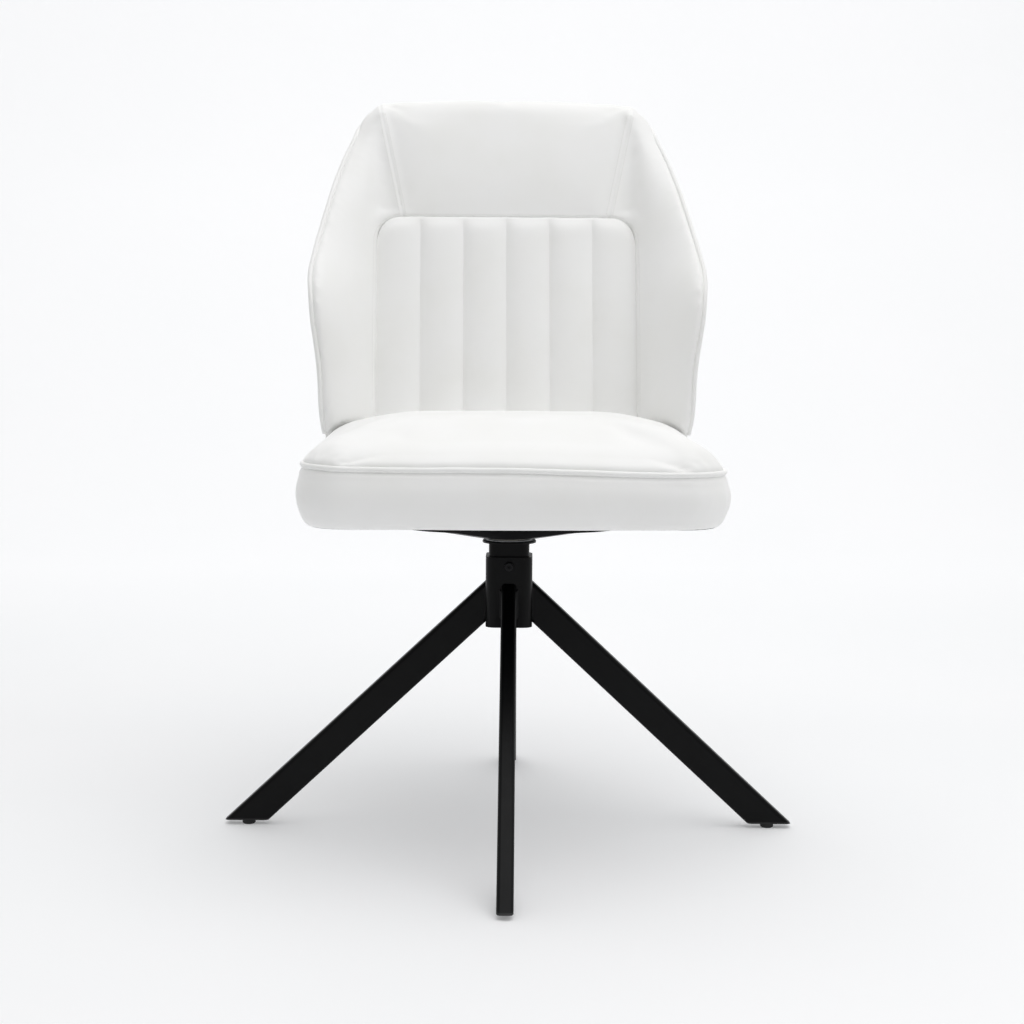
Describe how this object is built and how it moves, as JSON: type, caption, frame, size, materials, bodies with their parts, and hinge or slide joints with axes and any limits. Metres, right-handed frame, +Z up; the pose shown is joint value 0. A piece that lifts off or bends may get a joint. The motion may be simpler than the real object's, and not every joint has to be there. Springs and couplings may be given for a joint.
{
  "type": "swivel dining chair",
  "caption": "Dining chair with a crowned white seat and winged, channelled back that swivel on a square black steel column with splayed legs.",
  "frame": {"origin": "on the floor, on the swivel axis, midway between the feet", "axes": "+Z up along the swivel axis, the sitter faces -Y at rest, +X to the right in a view from the front"},
  "size_m": [0.6854, 0.6854, 0.9031],
  "materials": {
    "black_powder_coat": "satin powder coat",
    "black_moulding": "moulded, fine matt texture",
    "black_screw": "blacked steel",
    "pale_bearing_plastic": "natural acetal",
    "bright_steel": "ground and oiled",
    "zinc_steel": "zinc plated",
    "plywood": "raw birch plywood",
    "lining_cloth": "thin black non-woven cloth",
    "white_upholstery": "white coated upholstery fabric over foam, soft grain"
  },
  "bodies": {
    "base": {"hub_tube": "black_powder_coat", "hub_plug": "black_moulding", "leg_right": "black_powder_coat", "leg_rear": "black_powder_coat", "leg_left": "black_powder_coat", "leg_front": "black_powder_coat", "leg_cap_right": "black_moulding", "leg_cap_rear": "black_moulding", "leg_cap_left": "black_moulding", "leg_cap_front": "black_moulding", "foot_right": "black_moulding", "foot_rear": "black_moulding", "foot_left": "black_moulding", "foot_front": "black_moulding", "leg_welds": "black_powder_coat", "column_tube": "black_powder_coat", "column_flange": "black_powder_coat", "clamp_screws": "black_screw", "rivet_nuts": "zinc_steel", "lower_bush": "pale_bearing_plastic", "upper_bush": "pale_bearing_plastic", "lower_race": "bright_steel", "ball_cage": "pale_bearing_plastic", "bearing_balls": "bright_steel"},
    "seat": {"upper_race": "bright_steel", "spindle": "bright_steel", "lock_washer": "zinc_steel", "lock_nut": "zinc_steel", "seat_spider": "black_powder_coat", "spider_bolts": "zinc_steel", "seat_tee_nuts": "zinc_steel", "seat_board": "plywood", "seat_lining": "lining_cloth", "seat_cushion": "white_upholstery", "seat_piping": "white_upholstery", "bracket_left": "zinc_steel", "bracket_right": "zinc_steel", "bracket_bolts": "zinc_steel", "back_tee_nuts": "zinc_steel", "back_frame": "plywood", "back_panel": "white_upholstery", "back_wing_left": "white_upholstery", "back_wing_right": "white_upholstery", "back_top_pad": "white_upholstery", "back_cover": "white_upholstery", "back_piping": "white_upholstery"}
  },
  "joints": [
    {"name": "seat_swivel", "type": "hinge", "parent": "base", "child": "seat", "pos_m": [0, 0, 0.35], "axis": [0, 0, 1], "continuous": true}
  ]
}
